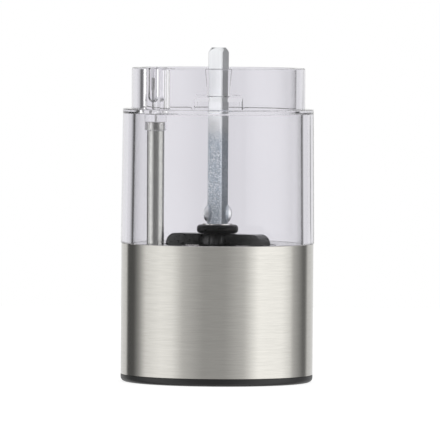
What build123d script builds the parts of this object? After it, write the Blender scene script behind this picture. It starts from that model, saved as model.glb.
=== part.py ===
"""Lower unit of a pepper mill: clear hopper, steel sleeve, black base, burr grinder and square shaft."""

import os
from math import asin, cos, degrees, radians, sin, sqrt

from build123d import *

# Heights of the bands seen from outside, from the table up
LIP_H = 2.1
SLEEVE_H = 38.4
BODY_H = 39.0
NECK_H = 12.0
SHAFT_PROUD = 5.9

# Outside diameter of the steel, and how the clear body steps out and in from it
UNIT_D = 56.0
BODY_OVERHANG = 0.2
BODY_TAPER = 0.4
SHOULDER_STEP = 2.5

# Walls of the clear hopper and of the sleeve
BODY_WALL = 3.6
NECK_WALL = 2.8
ROOF_T = 1.2
SKIRT_WALL = 2.25
SLEEVE_WALL = 0.6
RIM_ROUND = 0.5
SHOULDER_ROUND = 0.3
NECK_ROOT_ROUND = 0.2
ROOF_ROUND = 0.3
CEILING_ROUND = 0.3
SLEEVE_EDGE = 0.15

# Clearances
FIT = 0.05
RUN = 0.05
END_PLAY = 0.1
LOOSE = 0.2

# Lock recesses in the outside of the neck, the first one towards the camera
FRONT_AZ = 270.0
RECESS_COUNT = 2
ENTRY_W_TOP = 7.4
ENTRY_W_LOW = 5.9
ENTRY_DEPTH = 0.8
ENTRY_DRAFT = 14.0
ENTRY_RIDGE = 0.5
LATCH_W = 14.1
LATCH_H = 3.4
LATCH_DEPTH = 1.2
LATCH_LIFT = 0.3

# Steel tube for the lamp leads, its collar under the ceiling and the socket boss in the neck
TUBE_AZ = 215.0
TUBE_INSET = 1.4
TUBE_D = 4.5
TUBE_BORE_D = 3.2
TUBE_EDGE = 0.2
TUBE_TOP_UNDER_SHOULDER = 3.6
TUBE_CLEAR_OF_LAMP = 1.6
COLLAR_H = 5.0
COLLAR_WALL = 0.6
COLLAR_ROUND = 0.4
BOSS_W = 7.6
BOSS_REACH = 4.1
BOSS_ROUND = 1.6
SOCKET_D = 3.8
SOCKET_LIFT = 2.0
SOCKET_TIP_ROUND = 1.7
WALL_BITE = 0.6

# Plug, pins and leads of the lamp
PLUG_FLANGE_D = 4.8
PLUG_PROUD = 0.35
PLUG_TIP_ROUND = 1.7
PLUG_TIP_GAP = 0.2
PAIR_COUNT = 2
PIN_D = 0.8
PIN_SINK = 3.2
PIN_L = 3.6
PIN_TAIL_D = 0.4
PIN_OFFSET = 0.75
LEAD_D = 1.5
LEAD_OFFSET = 0.78
LEAD_SHORT = 0.3

# Lamp and its window
LAMP_D = 3.0
LAMP_FLANGE_D = 3.8
LAMP_FLANGE_T = 1.0
LAMP_LEG_D = 0.5
LAMP_LEG_L = 2.4
LAMP_H = 4.6
LENS_D = 4.0
LENS_T = 1.8
LENS_CROWN = 0.5
LENS_INSET = 0.3
TOWER_H = 3.4
TOWER_WALL = 1.05
LAMP_SPARE = 0.15

# Base
BASE_RECESS = 1.0
FOOT_W = 3.0
FLOOR_T = 2.6
LIP_ROUND = 1.4
SPIGOT_H = 2.0
SPIGOT_WALL = 1.6

# Screws that join base, housing and hopper
SCREW_COUNT = 3
SCREW_INSET = 4.7
SCREW_D = 2.5
SCREW_HEAD_D = 5.2
SCREW_HEAD_T = 1.3
SCREW_BITE = 10.0
SCREW_HOLE_SPARE = 0.25
BOSS_POST_D = 5.2
BOSS_POST_H = 14.0
POST_WEB_W = 2.2
POST_HOLE_SPARE = 1.5

# Funnel
FUNNEL_FALL = 0.45
FUNNEL_THROAT_RUN = 1.2
FUNNEL_THROAT_DROP = 6.0
FUNNEL_ROUND = 0.5
FUNNEL_WALL = 1.6
FUNNEL_OVERLAP = 3.0

# Grinder housing
HOUSING_POST_GAP = 1.8
HOUSING_WALL = 1.9
LUG_T = 2.4
LUG_END_D = 5.6
BURR_LEDGE = 1.7
BURR_SEAT_H = 4.9

# Outer burr
BURR_H = 12.0
WAIST_H = 4.7
BURR_RIM = 1.45
BURR_RING_T = 3.05
RING_TEETH = 28
RING_TOOTH_DEPTH = 0.7
RING_TOOTH_W = 1.5
RING_TOOTH_TWIST = -9.0
FEED_GROOVES = 8
FEED_GROOVE_DEPTH = 1.1
FEED_GROOVE_W = 4.2
FEED_GROOVE_TWIST = -16.0

# Inner burr, its driver and spring seat
ROTOR_LAND_H = 0.8
ROTOR_NECK_WALL = 0.55
ROTOR_CONE_H = 8.5
ROTOR_TOP_H = 2.9
ROTOR_DROP = 0.7
FINE_GAP = 0.12
LIFT = 1.05
ROTOR_TEETH = 30
ROTOR_TOOTH_DEPTH = 0.6
ROTOR_TOOTH_W = 1.3
ROTOR_TOOTH_H = 4.6
ROTOR_TOOTH_TWIST = 10.0
FLUTES = 6
FLUTE_DEPTH_LOW = 1.5
FLUTE_DEPTH_TOP = 0.8
FLUTE_W = 3.6
FLUTE_TWIST = 42.0
FLUTE_RISE = 2.4
CUT_STEPS = 4
CUT_SPARE = 0.2
CUT_OVER = 0.8
DRIVER_FLATS = 8.4
DRIVER_FLANGE_D = 12.8
DRIVER_FLANGE_T = 0.8
SEAT_D = 12.0
SEAT_T = 1.2
SEAT_BOSS_D = 6.8
SEAT_BOSS_H = 2.0

# Bridge, bush and washers
BRIDGE_AZ = -27.0
BRIDGE_PROUD = 2.7
BRIDGE_INSET = 0.5
BRIDGE_W = 7.0
BRIDGE_T = 3.2
BRIDGE_LEG_T = 2.8
BRIDGE_CORNER = 3.0
BRIDGE_INNER_CORNER = 1.5
BRIDGE_EDGE = 0.35
RING_H = 4.5
RING_WALL = 2.4
RING_SPIGOT_WALL = 1.35
HUB_D = 9.2
HUB_LOW_D = 11.0
HUB_STEP = 3.0
HUB_H = 6.7
BUSH_D = 12.1
BUSH_T = 2.5
BUSH_EDGE = 1.0
BUSH_SPIGOT_D = 7.7
BUSH_SPIGOT_H = 5.4
EAR_WASHER_D = 8.8
EAR_WASHER_T = 0.3
SPRING_WASHER_D = 11.2
SPRING_WASHER_T = 0.8
SPRING_WASHER_HOLE_D = 7.2

# Screws that hold the bridge in the housing
PIN_SCREW_D = 1.7
PIN_SCREW_HEAD_D = 3.6
PIN_SCREW_HEAD_T = 1.1
PIN_SCREW_DROP = 1.9
PIN_SCREW_COUNT = 2

# Spring
WIRE_D = 0.9
SPRING_D = 9.0
SPRING_COILS = 6

# Drive shaft
SHAFT_AZ = -27.0
EAR_TURN = 45.0
SHAFT_SIDE = 4.6
SHAFT_EDGE = 0.3
SHAFT_TIP_D = 4.3
SHAFT_TIP_H = 1.7
STEM_D = 4.0
STEM_L = 7.4
STEM_PROUD = 1.6
STEM_EDGE = 0.4
EAR_R = 4.4
EAR_T = 2.6
EAR_WIDEST_H = 2.9
EAR_ABOVE_H = 3.8

# Adjusting knob and nut
KNOB_D = 13.0
KNOB_DISC_T = 2.0
KNOB_GRIP_T = 3.4
KNOB_GRIP_H = 3.6
KNOB_GRIP_END = 0.5
KNOB_HUB_D = 10.0
KNOB_HOLE_SPARE = 0.3
NUT_FLATS = 7.0
NUT_T = 3.2
HEX_SIDES = 6

# Heights that follow
SLEEVE_TOP_Z = LIP_H + SLEEVE_H
SHOULDER_Z = SLEEVE_TOP_Z + BODY_H
RIM_Z = SHOULDER_Z + NECK_H
SHAFT_TOP_Z = RIM_Z + SHAFT_PROUD
FLOOR_TOP_Z = BASE_RECESS + FLOOR_T
LUG_TOP_Z = FLOOR_TOP_Z + LUG_T
BURR_Z = FLOOR_TOP_Z + BURR_SEAT_H
BURR_TOP_Z = BURR_Z + BURR_H
WAIST_Z = BURR_Z + WAIST_H
SPIGOT_LOW_Z = BURR_TOP_Z + FIT
RING_Z = SPIGOT_LOW_Z + RING_SPIGOT_WALL + PIN_SCREW_HEAD_D / 2 + LOOSE
RING_TOP_Z = RING_Z + RING_H
BRIDGE_TOP_Z = SLEEVE_TOP_Z + BRIDGE_PROUD
HUB_LOW_Z = BRIDGE_TOP_Z - HUB_H
TOWER_TOP_Z = FLOOR_TOP_Z + TOWER_H
LAMP_TOP_Z = TOWER_TOP_Z + LAMP_FLANGE_T
LEAD_LOW_Z = LAMP_TOP_Z + LAMP_LEG_L
TUBE_TOP_Z = SHOULDER_Z - TUBE_TOP_UNDER_SHOULDER
LEAD_TOP_Z = TUBE_TOP_Z - LEAD_SHORT
TUBE_LOW_Z = LAMP_TOP_Z + TUBE_CLEAR_OF_LAMP
SOCKET_Z = SHOULDER_Z + SOCKET_LIFT
SOCKET_DEPTH = RIM_Z - SOCKET_Z
PIN_LOW_Z = RIM_Z + PLUG_PROUD - PIN_SINK - PIN_L
ROTOR_Z = BURR_Z - ROTOR_DROP
ROTOR_LAND_Z = ROTOR_Z + ROTOR_LAND_H
ROTOR_CONE_TOP_Z = ROTOR_LAND_Z + ROTOR_CONE_H
ROTOR_TOP_Z = ROTOR_CONE_TOP_Z + ROTOR_TOP_H
DRIVER_Z = ROTOR_Z - DRIVER_FLANGE_T
SEAT_Z = ROTOR_TOP_Z + FIT
SEAT_TOP_Z = SEAT_Z + SEAT_T
SPRING_WASHER_Z = HUB_LOW_Z - END_PLAY - SPRING_WASHER_T
BUSH_Z = BRIDGE_TOP_Z + END_PLAY
BUSH_TOP_Z = BUSH_Z + BUSH_T
EAR_WASHER_Z = BUSH_TOP_Z
EAR_Z = EAR_WASHER_Z + EAR_WASHER_T
STEM_TOP_Z = STEM_PROUD + STEM_L
KNOB_TOP_Z = DRIVER_Z - END_PLAY
KNOB_DISC_Z = KNOB_TOP_Z - KNOB_DISC_T
KNOB_Z = KNOB_DISC_Z - KNOB_GRIP_H

# Radii that follow
UNIT_R = UNIT_D / 2
SKIRT_R = UNIT_R - SLEEVE_WALL - FIT
SKIRT_IN_R = SKIRT_R - SKIRT_WALL
BODY_FOOT_R = UNIT_R + BODY_OVERHANG
BODY_SHOULDER_R = BODY_FOOT_R - BODY_TAPER
BODY_FOOT_IN_R = BODY_FOOT_R - BODY_WALL
BODY_TOP_IN_R = BODY_SHOULDER_R - BODY_WALL
NECK_R = BODY_SHOULDER_R - SHOULDER_STEP
NECK_IN_R = NECK_R - NECK_WALL
LATCH_ARC = 2 * degrees(asin(LATCH_W / 2 / NECK_R))
LATCH_START = FRONT_AZ - LATCH_ARC / 2
PAIR_TURN = FRONT_AZ - TUBE_AZ
TUBE_PITCH_R = NECK_IN_R - TUBE_INSET
SCREW_PITCH_R = SKIRT_IN_R - SCREW_INSET
HOUSING_R = SCREW_PITCH_R - BOSS_POST_D / 2 - HOUSING_POST_GAP
HOUSING_IN_R = HOUSING_R - HOUSING_WALL
OUTLET_R = HOUSING_IN_R - BURR_LEDGE
BURR_R = HOUSING_IN_R - FIT
BURR_MOUTH_R = BURR_R - BURR_RIM
SPIGOT_R = SKIRT_IN_R - FIT
THROAT_R = HOUSING_R + FIT
ROTOR_R = BURR_R - BURR_RING_T
ROTOR_TOP_R = DRIVER_FLATS / sqrt(3) + FLUTE_DEPTH_TOP + ROTOR_NECK_WALL
BRIDGE_L = 2 * (HOUSING_R - BRIDGE_INSET)
CONE_SLOPE = (ROTOR_R - ROTOR_TOP_R) / ROTOR_CONE_H
SHAFT_HOLE = SHAFT_SIDE + 2 * RUN
SCREW_AZ = TUBE_AZ + 180.0 / SCREW_COUNT


def rotor_radius(z):
    """Outside radius of the inner burr before its teeth are cut."""
    if z < ROTOR_LAND_Z:
        return ROTOR_R
    if z < ROTOR_CONE_TOP_Z:
        return ROTOR_R - CONE_SLOPE * (z - ROTOR_LAND_Z)
    return ROTOR_TOP_R


def ring_radius(z):
    """Inside radius of the outer burr before its teeth are cut, just clear of the inner burr at full lift."""
    closed = ROTOR_R + FINE_GAP - CONE_SLOPE * (z - ROTOR_LAND_Z - LIFT)
    if z < WAIST_Z:
        return closed
    waist = ROTOR_R + FINE_GAP - CONE_SLOPE * (WAIST_Z - ROTOR_LAND_Z - LIFT)
    share = (z - WAIST_Z) / (BURR_TOP_Z - WAIST_Z)
    return waist + share * (BURR_MOUTH_R - waist)


def groove_floor(z):
    """Radius of a feed groove's floor: it runs out at the waist and is deepest at the mouth."""
    share = (z - WAIST_Z + CUT_OVER) / (BURR_TOP_Z - WAIST_Z)
    return ring_radius(max(z, WAIST_Z)) + FEED_GROOVE_DEPTH * share


def polar_plane(azimuth, radius, z):
    """Level plane at a height, its origin at a radius and its X axis pointing outwards."""
    out = (cos(radians(azimuth)), sin(radians(azimuth)), 0)
    return Plane(origin=(radius * out[0], radius * out[1], z), x_dir=out, z_dir=(0, 0, 1))


def upright_plane(azimuth):
    """Upright plane through the axis, its X axis along the azimuth and its Y axis up."""
    along = (cos(radians(azimuth)), sin(radians(azimuth)), 0)
    return Plane(origin=(0, 0, 0), x_dir=along, z_dir=(along[1], -along[0], 0))


def corner(sketch, x, y):
    """Corner of a sketch nearest to a point."""
    return sketch.vertices().sort_by_distance((x, y))[0]


def vee_cutter(z_low, z_high, mouth, tip, width, twist):
    """V-shaped cutter that climbs round the axis; mouth and tip give its radii at a height."""
    with BuildPart() as cutter:
        for step in range(CUT_STEPS + 1):
            share = step / CUT_STEPS
            z = z_low + share * (z_high - z_low)
            with BuildSketch(polar_plane(share * twist, 0, z)):
                with BuildLine():
                    Polyline((tip(z), 0), (mouth(z), -width / 2), (mouth(z), width / 2), close=True)
                make_face()
        loft(ruled=True)
    return cutter.part


os.makedirs("parts", exist_ok=True)

# Cutters for one lock recess: a tapered entry from the rim, and a latch pocket round the foot of the neck
ENTRY_BACK_R = sqrt((NECK_R - ENTRY_DEPTH) ** 2 - (ENTRY_W_TOP / 2) ** 2)
LATCH_Z = SHOULDER_Z + LATCH_LIFT
LATCH_TOP_Z = LATCH_Z + LATCH_H
with BuildPart() as entry_cut:
    with BuildSketch(Plane.XZ.offset(ENTRY_BACK_R)):
        with BuildLine():
            Polyline(
                (-ENTRY_W_LOW / 2, LATCH_TOP_Z + ENTRY_RIDGE),
                (ENTRY_W_LOW / 2, LATCH_TOP_Z + ENTRY_RIDGE),
                (ENTRY_W_TOP / 2, RIM_Z + CUT_OVER),
                (-ENTRY_W_TOP / 2, RIM_Z + CUT_OVER),
                close=True,
            )
        make_face()
    extrude(amount=NECK_R + CUT_OVER - ENTRY_BACK_R, taper=-ENTRY_DRAFT)
    Cylinder(NECK_R - ENTRY_DEPTH, 2 * SHAFT_TOP_Z, mode=Mode.SUBTRACT)
with BuildPart() as latch_cut:
    with BuildSketch(upright_plane(LATCH_START)):
        with BuildLine():
            Polyline(
                (NECK_R - LATCH_DEPTH, LATCH_Z),
                (NECK_R + CUT_OVER, LATCH_Z),
                (NECK_R + CUT_OVER, LATCH_TOP_Z + CUT_OVER),
                (NECK_R, LATCH_TOP_Z),
                (NECK_R - LATCH_DEPTH, LATCH_TOP_Z - LATCH_DEPTH),
                close=True,
            )
        make_face()
    revolve(axis=Axis.Z, revolution_arc=LATCH_ARC)

# Cutter for the plug's socket, round at the bottom
with BuildPart() as socket_cut:
    with BuildSketch(polar_plane(TUBE_AZ, TUBE_PITCH_R, SOCKET_Z)):
        Circle(SOCKET_D / 2)
    extrude(amount=SOCKET_DEPTH + CUT_OVER)
    fillet(socket_cut.edges().sort_by(Axis.Z)[0], SOCKET_TIP_ROUND)

# Hopper: neck, shoulder, tapered body and a skirt inside the sleeve
CEILING_Z = SHOULDER_Z - ROOF_T
with BuildPart() as hopper:
    with BuildSketch(Plane.XZ) as hopper_wall:
        with BuildLine():
            Polyline(
                (SKIRT_R, LIP_H),
                (SKIRT_R, SLEEVE_TOP_Z),
                (BODY_FOOT_R, SLEEVE_TOP_Z),
                (BODY_SHOULDER_R, SHOULDER_Z),
                (NECK_R, SHOULDER_Z),
                (NECK_R, RIM_Z),
                (NECK_IN_R, RIM_Z),
                (NECK_IN_R, CEILING_Z),
                (BODY_TOP_IN_R, CEILING_Z),
                (BODY_FOOT_IN_R, SLEEVE_TOP_Z),
                (SKIRT_IN_R, SLEEVE_TOP_Z),
                (SKIRT_IN_R, LIP_H),
                close=True,
            )
        make_face()
        fillet(corner(hopper_wall, BODY_SHOULDER_R, SHOULDER_Z), SHOULDER_ROUND)
        fillet(corner(hopper_wall, NECK_R, SHOULDER_Z), NECK_ROOT_ROUND)
        fillet(corner(hopper_wall, NECK_R, RIM_Z), RIM_ROUND)
        fillet(corner(hopper_wall, NECK_IN_R, RIM_Z), RIM_ROUND)
        fillet(corner(hopper_wall, NECK_IN_R, CEILING_Z), ROOF_ROUND)
        fillet(corner(hopper_wall, BODY_TOP_IN_R, CEILING_Z), CEILING_ROUND)
    revolve(axis=Axis.Z)
    # Socket boss in the neck
    BOSS_MID_R = NECK_IN_R + WALL_BITE - (BOSS_REACH + WALL_BITE) / 2
    with BuildSketch(polar_plane(TUBE_AZ, BOSS_MID_R, CEILING_Z)):
        RectangleRounded(BOSS_REACH + WALL_BITE, BOSS_W, BOSS_ROUND)
    extrude(amount=RIM_Z - CEILING_Z)
    # Round collar under the ceiling for the steel tube, and fine holes up to the socket for the pins' tails
    COLLAR_Z = CEILING_Z - COLLAR_H
    with BuildSketch(polar_plane(TUBE_AZ, TUBE_PITCH_R, COLLAR_Z)):
        Circle(TUBE_D / 2 + COLLAR_WALL)
    extrude(amount=SHOULDER_Z - COLLAR_Z)
    round_edges = hopper.edges().filter_by(GeomType.CIRCLE)
    fillet(round_edges.filter_by_position(Axis.Z, COLLAR_Z - FIT, COLLAR_Z + FIT), COLLAR_ROUND)
    with BuildSketch(polar_plane(TUBE_AZ, TUBE_PITCH_R, COLLAR_Z)):
        Circle(TUBE_D / 2 + FIT)
    extrude(amount=TUBE_TOP_Z - COLLAR_Z, mode=Mode.SUBTRACT)
    with BuildSketch(polar_plane(TUBE_AZ, TUBE_PITCH_R, LEAD_TOP_Z)):
        with PolarLocations(PIN_OFFSET, PAIR_COUNT, PAIR_TURN):
            Circle(PIN_TAIL_D / 2 + FIT)
    extrude(amount=RIM_Z - LEAD_TOP_Z, mode=Mode.SUBTRACT)
    add(socket_cut.part, mode=Mode.SUBTRACT)
    # Screw posts in the skirt
    for index in range(SCREW_COUNT):
        post_az = SCREW_AZ + index * 360.0 / SCREW_COUNT
        with BuildSketch(polar_plane(post_az, SCREW_PITCH_R, LUG_TOP_Z)):
            Circle(BOSS_POST_D / 2)
            with Locations(((SKIRT_IN_R + WALL_BITE - SCREW_PITCH_R) / 2, 0)):
                Rectangle(SKIRT_IN_R + WALL_BITE - SCREW_PITCH_R, POST_WEB_W)
        extrude(amount=BOSS_POST_H)
        with BuildSketch(polar_plane(post_az, SCREW_PITCH_R, LUG_TOP_Z)):
            Circle(SCREW_D / 2 + FIT)
        extrude(amount=SCREW_BITE + POST_HOLE_SPARE, mode=Mode.SUBTRACT)
    with PolarLocations(0, RECESS_COUNT):
        add(entry_cut.part, mode=Mode.SUBTRACT)
    with PolarLocations(0, RECESS_COUNT):
        add(latch_cut.part, mode=Mode.SUBTRACT)
hopper.part.label = "hopper"
export_step(hopper.part, "parts/hopper.step")

# Steel sleeve
with BuildPart() as steel_sleeve:
    with BuildSketch(Plane.XY.offset(LIP_H)):
        Circle(UNIT_R)
        Circle(UNIT_R - SLEEVE_WALL, mode=Mode.SUBTRACT)
    extrude(amount=SLEEVE_H - FIT)
    chamfer(steel_sleeve.edges().filter_by(GeomType.CIRCLE), SLEEVE_EDGE)
steel_sleeve.part.label = "steel_sleeve"
export_step(steel_sleeve.part, "parts/steel_sleeve.step")

# Base: foot ring, floor with the outlet, spigot in the skirt and lamp tower
with BuildPart() as base:
    with BuildSketch(Plane.XZ) as base_wall:
        with BuildLine():
            Polyline(
                (OUTLET_R, BASE_RECESS),
                (UNIT_R - FOOT_W, BASE_RECESS),
                (UNIT_R - FOOT_W, 0),
                (UNIT_R, 0),
                (UNIT_R, LIP_H),
                (SPIGOT_R, LIP_H),
                (SPIGOT_R, FLOOR_TOP_Z + SPIGOT_H),
                (SPIGOT_R - SPIGOT_WALL, FLOOR_TOP_Z + SPIGOT_H),
                (SPIGOT_R - SPIGOT_WALL, FLOOR_TOP_Z),
                (OUTLET_R, FLOOR_TOP_Z),
                close=True,
            )
        make_face()
        fillet(corner(base_wall, UNIT_R, 0), LIP_ROUND)
    revolve(axis=Axis.Z)
    with BuildSketch(polar_plane(TUBE_AZ, TUBE_PITCH_R, FLOOR_TOP_Z)):
        Circle(LAMP_D / 2 + LAMP_SPARE + TOWER_WALL)
    extrude(amount=TOWER_H)
    with BuildSketch(polar_plane(TUBE_AZ, TUBE_PITCH_R, 0)):
        Circle(LAMP_D / 2 + LAMP_SPARE)
    extrude(amount=TOWER_TOP_Z + CUT_OVER, mode=Mode.SUBTRACT)
    with BuildSketch(polar_plane(TUBE_AZ, TUBE_PITCH_R, 0)):
        Circle(LENS_D / 2 + FIT)
    extrude(amount=BASE_RECESS + LENS_INSET + LENS_T, mode=Mode.SUBTRACT)
    for index in range(SCREW_COUNT):
        post_az = SCREW_AZ + index * 360.0 / SCREW_COUNT
        with BuildSketch(polar_plane(post_az, SCREW_PITCH_R, 0)):
            Circle(SCREW_D / 2 + SCREW_HOLE_SPARE)
        extrude(amount=LUG_TOP_Z, mode=Mode.SUBTRACT)
        with BuildSketch(polar_plane(post_az, SCREW_PITCH_R, 0)):
            Circle(SCREW_HEAD_D / 2 + FIT)
        extrude(amount=BASE_RECESS + SCREW_HEAD_T + FIT, mode=Mode.SUBTRACT)
base.part.label = "base"
export_step(base.part, "parts/base.step")

# Funnel: clear floor, almost level from the wall to the throat, then steep down to the bridge ring
FLOOR_Z = SLEEVE_TOP_Z - FIT
THROAT_TOP_R = THROAT_R + FUNNEL_THROAT_RUN
LIP_Z = FLOOR_Z - FUNNEL_FALL
KNEE_Z = LIP_Z - FUNNEL_THROAT_DROP
with BuildPart() as funnel:
    with BuildSketch(Plane.XZ) as funnel_wall:
        with BuildLine():
            Polyline(
                (SPIGOT_R, FLOOR_Z),
                (BODY_FOOT_IN_R, FLOOR_Z),
                (THROAT_TOP_R, LIP_Z),
                (THROAT_R, KNEE_Z),
                (THROAT_R, RING_TOP_Z - FUNNEL_OVERLAP),
                (THROAT_R + FUNNEL_WALL, RING_TOP_Z - FUNNEL_OVERLAP),
                (THROAT_R + FUNNEL_WALL, KNEE_Z),
                (THROAT_TOP_R + FUNNEL_WALL, LIP_Z - FUNNEL_WALL),
                (SPIGOT_R, FLOOR_Z - FUNNEL_WALL),
                close=True,
            )
        make_face()
        fillet(corner(funnel_wall, THROAT_TOP_R, LIP_Z), FUNNEL_ROUND)
    revolve(axis=Axis.Z)
    with BuildSketch(polar_plane(TUBE_AZ, TUBE_PITCH_R, 0)):
        Circle(TUBE_D / 2 + FIT)
    extrude(amount=SHOULDER_Z, mode=Mode.SUBTRACT)
funnel.part.label = "funnel"
export_step(funnel.part, "parts/funnel.step")

# Grinder housing: tube with a seat for the outer burr and three screw lugs
with BuildPart() as grinder_housing:
    with BuildSketch(Plane.XZ):
        with BuildLine():
            Polyline(
                (OUTLET_R, FLOOR_TOP_Z),
                (HOUSING_R, FLOOR_TOP_Z),
                (HOUSING_R, RING_Z),
                (HOUSING_IN_R, RING_Z),
                (HOUSING_IN_R, BURR_Z),
                (OUTLET_R, BURR_Z),
                close=True,
            )
        make_face()
    revolve(axis=Axis.Z)
    for index in range(SCREW_COUNT):
        post_az = SCREW_AZ + index * 360.0 / SCREW_COUNT
        with BuildSketch(polar_plane(post_az, SCREW_PITCH_R, FLOOR_TOP_Z)):
            Circle(LUG_END_D / 2)
            with Locations(((HOUSING_IN_R - SCREW_PITCH_R) / 2, 0)):
                Rectangle(SCREW_PITCH_R - HOUSING_IN_R, LUG_END_D)
        extrude(amount=LUG_T)
        with BuildSketch(polar_plane(post_az, SCREW_PITCH_R, FLOOR_TOP_Z)):
            Circle(SCREW_D / 2 + SCREW_HOLE_SPARE)
        extrude(amount=LUG_T, mode=Mode.SUBTRACT)
    # Side holes for the bridge screws
    with BuildSketch(upright_plane(BRIDGE_AZ)):
        with Locations((0, RING_Z - PIN_SCREW_DROP)):
            Circle(PIN_SCREW_D / 2 + FIT)
    extrude(amount=2 * HOUSING_R, both=True, mode=Mode.SUBTRACT)
grinder_housing.part.label = "grinder_housing"
export_step(grinder_housing.part, "parts/grinder_housing.step")

# Outer burr: fine teeth below the waist, wide feed grooves above it
ring_tooth = vee_cutter(
    BURR_Z - CUT_SPARE,
    WAIST_Z + CUT_OVER,
    lambda z: ring_radius(min(z, WAIST_Z)) - CUT_OVER,
    lambda z: ring_radius(min(z, WAIST_Z)) + RING_TOOTH_DEPTH,
    RING_TOOTH_W,
    RING_TOOTH_TWIST,
)
feed_groove = vee_cutter(
    WAIST_Z - CUT_OVER,
    BURR_TOP_Z + CUT_SPARE,
    lambda z: ring_radius(max(z, WAIST_Z)) - CUT_OVER,
    groove_floor,
    FEED_GROOVE_W,
    FEED_GROOVE_TWIST,
)
with BuildPart() as fixed_burr:
    with BuildSketch(Plane.XZ):
        with BuildLine():
            Polyline(
                (ring_radius(BURR_Z), BURR_Z),
                (BURR_R, BURR_Z),
                (BURR_R, BURR_TOP_Z),
                (ring_radius(BURR_TOP_Z), BURR_TOP_Z),
                (ring_radius(WAIST_Z), WAIST_Z),
                close=True,
            )
        make_face()
    revolve(axis=Axis.Z)
    with PolarLocations(0, RING_TEETH):
        add(ring_tooth, mode=Mode.SUBTRACT)
    with PolarLocations(0, FEED_GROOVES):
        add(feed_groove, mode=Mode.SUBTRACT)
fixed_burr.part.label = "fixed_burr"
export_step(fixed_burr.part, "parts/fixed_burr.step")

# Bridge: ring on the housing, two legs, a bar and the hub of the bush
LEG_SPAN = BRIDGE_L / 2 - BRIDGE_LEG_T
BAR_Z = BRIDGE_TOP_Z - BRIDGE_T
with BuildPart() as bridge:
    with BuildSketch(upright_plane(BRIDGE_AZ)) as bridge_bow:
        with BuildLine():
            Polyline(
                (-BRIDGE_L / 2, RING_Z),
                (-BRIDGE_L / 2, BRIDGE_TOP_Z),
                (BRIDGE_L / 2, BRIDGE_TOP_Z),
                (BRIDGE_L / 2, RING_Z),
                (LEG_SPAN, RING_Z),
                (LEG_SPAN, BAR_Z),
                (-LEG_SPAN, BAR_Z),
                (-LEG_SPAN, RING_Z),
                close=True,
            )
        make_face()
        fillet(corner(bridge_bow, -BRIDGE_L / 2, BRIDGE_TOP_Z), BRIDGE_CORNER)
        fillet(corner(bridge_bow, BRIDGE_L / 2, BRIDGE_TOP_Z), BRIDGE_CORNER)
        fillet(corner(bridge_bow, -LEG_SPAN, BAR_Z), BRIDGE_INNER_CORNER)
        fillet(corner(bridge_bow, LEG_SPAN, BAR_Z), BRIDGE_INNER_CORNER)
    extrude(amount=BRIDGE_W / 2, both=True)
    bow_side = bridge.faces().filter_by(GeomType.PLANE).sort_by(SortBy.AREA)[-2:]
    chamfer(bow_side.edges(), BRIDGE_EDGE)
    with BuildSketch(Plane.XZ):
        with BuildLine():
            Polyline(
                (BURR_R - RING_SPIGOT_WALL, SPIGOT_LOW_Z),
                (BURR_R, SPIGOT_LOW_Z),
                (BURR_R, RING_Z),
                (HOUSING_R, RING_Z),
                (HOUSING_R, RING_TOP_Z),
                (HOUSING_R - RING_WALL, RING_TOP_Z),
                close=True,
            )
        make_face()
    revolve(axis=Axis.Z)
    with BuildSketch(Plane.XY.offset(HUB_LOW_Z)):
        Circle(HUB_D / 2)
    extrude(amount=HUB_H)
    with BuildSketch(Plane.XY.offset(HUB_LOW_Z)):
        Circle(HUB_LOW_D / 2)
    extrude(amount=HUB_H - HUB_STEP)
    with BuildSketch(Plane.XY.offset(HUB_LOW_Z)):
        Circle(BUSH_SPIGOT_D / 2 + RUN)
    extrude(amount=HUB_H, mode=Mode.SUBTRACT)
    with BuildSketch(upright_plane(BRIDGE_AZ)):
        with Locations((0, RING_Z - PIN_SCREW_DROP)):
            Circle(PIN_SCREW_D / 2 + FIT)
    extrude(amount=2 * HOUSING_R, both=True, mode=Mode.SUBTRACT)
bridge.part.label = "bridge"
export_step(bridge.part, "parts/bridge.step")

# Screws from below through base and housing into the posts
with BuildPart() as base_screws:
    for index in range(SCREW_COUNT):
        post_az = SCREW_AZ + index * 360.0 / SCREW_COUNT
        with BuildSketch(polar_plane(post_az, SCREW_PITCH_R, BASE_RECESS)):
            Circle(SCREW_HEAD_D / 2)
        extrude(amount=SCREW_HEAD_T)
        with BuildSketch(polar_plane(post_az, SCREW_PITCH_R, BASE_RECESS)):
            Circle(SCREW_D / 2)
        extrude(amount=LUG_TOP_Z + SCREW_BITE - BASE_RECESS)
base_screws.part.label = "base_screws"
export_step(base_screws.part, "parts/base_screws.step")

# Side screws that hold the bridge in the housing
with BuildPart() as bridge_screws:
    for index in range(PIN_SCREW_COUNT):
        screw_side = BRIDGE_AZ + 90.0 + index * 360.0 / PIN_SCREW_COUNT
        seat = polar_plane(screw_side, HOUSING_R, RING_Z - PIN_SCREW_DROP)
        with BuildSketch(Plane(origin=seat.origin, x_dir=seat.y_dir, z_dir=seat.x_dir)):
            Circle(PIN_SCREW_HEAD_D / 2)
        extrude(amount=PIN_SCREW_HEAD_T)
        with BuildSketch(Plane(origin=seat.origin, x_dir=seat.y_dir, z_dir=seat.x_dir)):
            Circle(PIN_SCREW_D / 2)
        extrude(amount=-(HOUSING_WALL + FIT + RING_SPIGOT_WALL - LOOSE))
bridge_screws.part.label = "bridge_screws"
export_step(bridge_screws.part, "parts/bridge_screws.step")

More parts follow.
